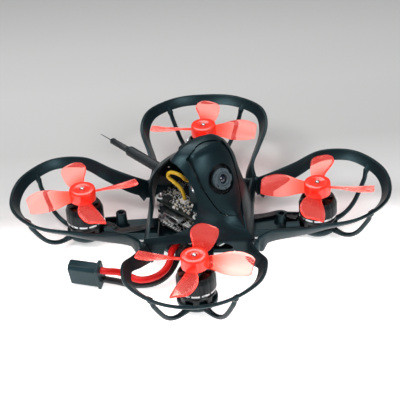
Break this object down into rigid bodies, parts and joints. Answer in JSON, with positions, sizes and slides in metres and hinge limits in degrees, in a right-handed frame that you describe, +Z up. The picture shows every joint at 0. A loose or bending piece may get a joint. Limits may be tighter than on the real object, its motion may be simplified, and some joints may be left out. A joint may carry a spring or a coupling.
{
  "type": "fpv racing drone",
  "caption": "Small ducted racing quadcopter: square guard frame, domed pod with a tilting front camera, spinning motors with red propellers, rear antenna and battery lead with plug.",
  "frame": {"origin": "on the ground under the middle of the four motors", "axes": "+Z up, the camera looks along -Y, the drone's right side is -X"},
  "size_m": [0.1158, 0.1158, 0.042],
  "materials": {
    "frame_nylon": "satin moulded black nylon",
    "anodised_aluminium": "satin black anodised",
    "copper_winding": "enamelled copper wire",
    "steel": "bright machined",
    "propeller": "translucent red-orange, polished",
    "wire_black": "satin silicone",
    "camera_plastic": "satin black",
    "lens_glass": "polished, coated",
    "circuit_board": "solder mask with soldered parts",
    "white_plastic": "smooth moulded",
    "wire_yellow": "satin silicone",
    "heat_shrink": "satin shrink tube",
    "wire_red": "satin silicone",
    "plug_nylon": "satin moulded",
    "pin_brass": "gilt"
  },
  "bodies": {
    "frame": {"guard_ring_front_right": "frame_nylon", "arm_front_right": "frame_nylon", "motor_base_front_right": "anodised_aluminium", "motor_stator_front_right": "copper_winding", "motor_wires_front_right": "wire_black", "guard_ring_front_left": "frame_nylon", "arm_front_left": "frame_nylon", "motor_base_front_left": "anodised_aluminium", "motor_stator_front_left": "copper_winding", "motor_wires_front_left": "wire_black", "guard_ring_rear_right": "frame_nylon", "arm_rear_right": "frame_nylon", "motor_base_rear_right": "anodised_aluminium", "motor_stator_rear_right": "copper_winding", "motor_wires_rear_right": "wire_black", "guard_ring_rear_left": "frame_nylon", "arm_rear_left": "frame_nylon", "motor_base_rear_left": "anodised_aluminium", "motor_stator_rear_left": "copper_winding", "motor_wires_rear_left": "wire_black", "base_plate": "frame_nylon", "canopy_shell": "frame_nylon", "camera_cover": "frame_nylon", "camera_bracket": "frame_nylon", "canopy_screw": "steel", "usb_socket": "steel", "stack_post_1": "steel", "stack_post_2": "steel", "stack_post_3": "steel", "stack_post_4": "steel", "esc_board": "circuit_board", "flight_controller": "circuit_board", "vtx_board": "circuit_board", "camera_cable": "wire_yellow", "antenna_sleeve": "heat_shrink", "antenna_tip": "heat_shrink", "battery_wire_red": "wire_red", "battery_wire_black": "wire_black", "battery_plug": "plug_nylon", "plug_pin_positive": "pin_brass", "plug_pin_negative": "pin_brass"},
    "rotor_front_right": {"motor_bell_front_right": "anodised_aluminium", "motor_shaft_front_right": "steel", "propeller_front_right": "propeller"},
    "rotor_front_left": {"motor_bell_front_left": "anodised_aluminium", "motor_shaft_front_left": "steel", "propeller_front_left": "propeller"},
    "rotor_rear_right": {"motor_bell_rear_right": "anodised_aluminium", "motor_shaft_rear_right": "steel", "propeller_rear_right": "propeller"},
    "rotor_rear_left": {"motor_bell_rear_left": "anodised_aluminium", "motor_shaft_rear_left": "steel", "propeller_rear_left": "propeller"},
    "camera": {"camera_housing": "camera_plastic", "camera_screw_right": "steel", "camera_screw_left": "steel"},
    "lens": {"lens_barrel": "camera_plastic", "lens_glass": "lens_glass"},
    "button": {"channel_button": "white_plastic"}
  },
  "joints": [
    {"name": "rotor_front_right_spin", "type": "hinge", "parent": "frame", "child": "rotor_front_right", "pos_m": [-0.03076, -0.03076, 0.0225], "axis": [0, 0, 1], "continuous": true},
    {"name": "rotor_front_left_spin", "type": "hinge", "parent": "frame", "child": "rotor_front_left", "pos_m": [0.03076, -0.03076, 0.0225], "axis": [0, 0, 1], "continuous": true},
    {"name": "rotor_rear_right_spin", "type": "hinge", "parent": "frame", "child": "rotor_rear_right", "pos_m": [-0.03076, 0.03076, 0.0225], "axis": [0, 0, 1], "continuous": true},
    {"name": "rotor_rear_left_spin", "type": "hinge", "parent": "frame", "child": "rotor_rear_left", "pos_m": [0.03076, 0.03076, 0.0225], "axis": [0, 0, 1], "continuous": true},
    {"name": "camera_tilt", "type": "hinge", "parent": "frame", "child": "camera", "pos_m": [0, -0.00699, 0.02815], "axis": [1, 0, 0], "range_deg": [-5, 5]},
    {"name": "lens_focus", "type": "hinge", "parent": "camera", "child": "lens", "pos_m": [0, -0.0143, 0.0314], "axis": [0, -0.9135, 0.4067], "range_deg": [-90, 90]},
    {"name": "channel_button_press", "type": "slide", "parent": "frame", "child": "button", "axis": [0, 0, -1], "range_m": [0, 0.00025], "stiffness_N_per_m": 4000}
  ]
}
